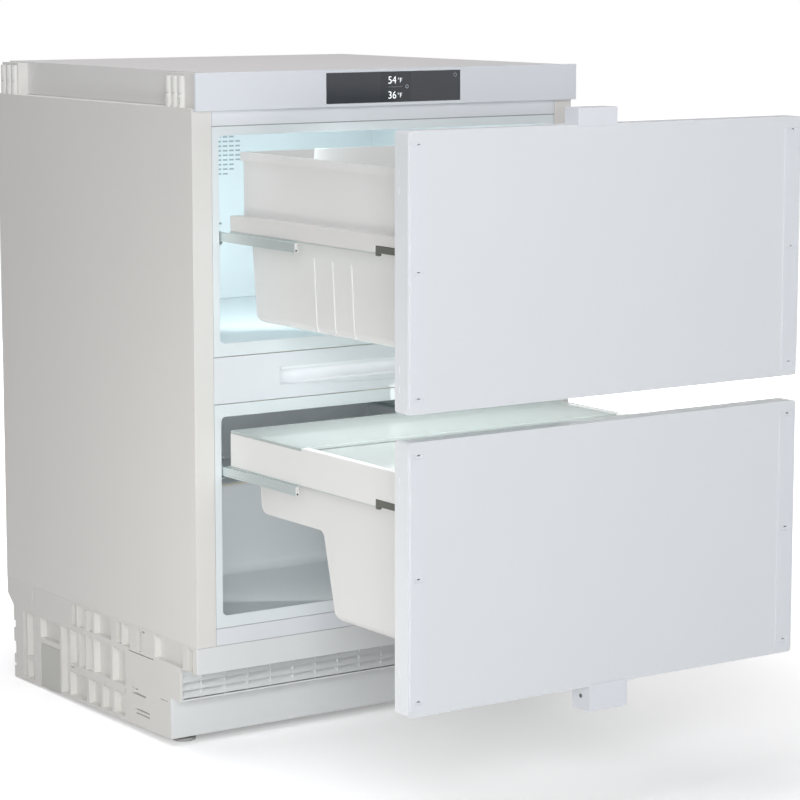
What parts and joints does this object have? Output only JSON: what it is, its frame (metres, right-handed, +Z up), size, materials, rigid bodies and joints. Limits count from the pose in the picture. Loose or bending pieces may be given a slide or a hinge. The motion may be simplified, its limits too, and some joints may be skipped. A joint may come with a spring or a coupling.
{
  "type": "undercounter drawer refrigerator",
  "caption": "Built-in refrigerator with insulated pull-out drawers on telescopic slides, a covered lower bin, a top control fascia and a ventilated base on levelling feet.",
  "frame": {"origin": "floor level, at the middle of the outline's width and depth with both drawers fully out", "axes": "+Z up, the drawer fronts face -Y, +X to the right as seen from the front"},
  "size_m": [0.597, 1.0106, 0.8795],
  "materials": {
    "side_steel": "satin, light warm grey",
    "front_steel": "satin, white",
    "foam": "matte, fine closed cells",
    "liner_plastic": "semi-gloss, white",
    "trim_plastic": "semi-gloss, bluish white",
    "fascia_plastic": "semi-gloss, bluish white",
    "cover_plastic": "matte, off-white",
    "base_plastic": "matte, light grey",
    "grille_plastic": "matte, off-white",
    "bin_plastic": "semi-gloss, white",
    "carrier_plastic": "satin, white",
    "zinc_steel": "zinc-plated",
    "tray_steel": "galvanised",
    "black_plastic": "matte black",
    "grey_plastic": "matte, dark grey",
    "display": "gloss, nearly black",
    "clear_glass": "gloss, faintly green",
    "lens": "milky, lit",
    "board": "satin, green",
    "compressor_shell": "gloss black",
    "fin_aluminium": "matte",
    "seal_rubber": "matte, pale grey",
    "foot_plastic": "matte, grey"
  },
  "bodies": {
    "cabinet": {"left_side_panel": "side_steel", "right_side_panel": "side_steel", "top_cover": "cover_plastic", "back_panel": "cover_plastic", "side_foam": "foam", "deck_foam": "foam", "back_foam": "foam", "upper_liner": "liner_plastic", "lower_liner": "liner_plastic", "top_trim": "trim_plastic", "middle_trim": "trim_plastic", "bottom_trim": "trim_plastic", "middle_light": "lens", "fascia": "fascia_plastic", "display_glass": "display", "control_board": "board", "corner_blocks": "base_plastic", "base_left": "base_plastic", "base_right": "base_plastic", "base_pan": "grille_plastic", "machine_tray": "tray_steel", "air_grille": "grille_plastic", "plinth_panel": "grille_plastic", "compressor": "compressor_shell", "condenser": "fin_aluminium", "fan_shroud": "black_plastic", "machine_cover": "tray_steel", "power_inlet": "black_plastic", "evaporator": "fin_aluminium", "duct_cover": "liner_plastic", "fixed_rails": "zinc_steel", "rail_stops": "black_plastic"},
    "upper_drawer": {"upper_front": "front_steel", "upper_front_core": "foam", "upper_gasket": "seal_rubber", "upper_strips": "trim_plastic", "upper_lug": "trim_plastic", "upper_carriers": "carrier_plastic", "upper_drawer_rails": "zinc_steel", "upper_latches": "grey_plastic", "upper_bin": "bin_plastic"},
    "lower_drawer": {"lower_front": "front_steel", "lower_front_core": "foam", "lower_gasket": "seal_rubber", "lower_strips": "trim_plastic", "lower_lug": "trim_plastic", "lower_carriers": "carrier_plastic", "lower_drawer_rails": "zinc_steel", "lower_latches": "grey_plastic", "lower_bin": "bin_plastic", "rear_glass": "clear_glass"},
    "sliding_cover": {"front_glass": "clear_glass"},
    "upper_middle_rail_pair": {"upper_middle_rails": "zinc_steel"},
    "lower_middle_rail_pair": {"lower_middle_rails": "zinc_steel"},
    "condenser_fan_rotor": {"condenser_fan": "black_plastic"},
    "evaporator_fan_rotor": {"evaporator_fan": "black_plastic"},
    "front_left_leveller": {"front_left_foot": "foot_plastic"},
    "front_right_leveller": {"front_right_foot": "foot_plastic"},
    "rear_left_leveller": {"rear_left_foot": "foot_plastic"},
    "rear_right_leveller": {"rear_right_foot": "foot_plastic"}
  },
  "joints": [
    {"name": "upper_drawer_slide", "type": "slide", "parent": "cabinet", "child": "upper_drawer", "axis": [0, -1, 0], "range_m": [-0.432, 0]},
    {"name": "lower_drawer_slide", "type": "slide", "parent": "cabinet", "child": "lower_drawer", "axis": [0, -1, 0], "range_m": [-0.432, 0]},
    {"name": "upper_middle_rail_slide", "type": "slide", "parent": "cabinet", "child": "upper_middle_rail_pair", "axis": [0, -1, 0], "range_m": [-0.216, 0]},
    {"name": "lower_middle_rail_slide", "type": "slide", "parent": "cabinet", "child": "lower_middle_rail_pair", "axis": [0, -1, 0], "range_m": [-0.216, 0]},
    {"name": "cover_slide", "type": "slide", "parent": "lower_drawer", "child": "sliding_cover", "axis": [0, 1, 0], "range_m": [0, 0.15]},
    {"name": "condenser_fan_spin", "type": "hinge", "parent": "cabinet", "child": "condenser_fan_rotor", "pos_m": [0.04, 0.37335, 0.147], "axis": [1, 0, 0], "continuous": true},
    {"name": "evaporator_fan_spin", "type": "hinge", "parent": "cabinet", "child": "evaporator_fan_rotor", "pos_m": [-0.004, 0.43185, 0.749], "axis": [0, 1, 0], "continuous": true},
    {"name": "front_left_foot_screw", "type": "slide", "parent": "cabinet", "child": "front_left_leveller", "axis": [0, 0, -1], "range_m": [0, 0.02]},
    {"name": "front_right_foot_screw", "type": "slide", "parent": "cabinet", "child": "front_right_leveller", "axis": [0, 0, -1], "range_m": [0, 0.02]},
    {"name": "rear_left_foot_screw", "type": "slide", "parent": "cabinet", "child": "rear_left_leveller", "axis": [0, 0, -1], "range_m": [0, 0.02]},
    {"name": "rear_right_foot_screw", "type": "slide", "parent": "cabinet", "child": "rear_right_leveller", "axis": [0, 0, -1], "range_m": [0, 0.02]}
  ],
  "couplings": [
    {"joint": "upper_middle_rail_slide", "follows": "upper_drawer_slide", "ratio": 0.5},
    {"joint": "lower_middle_rail_slide", "follows": "lower_drawer_slide", "ratio": 0.5}
  ]
}
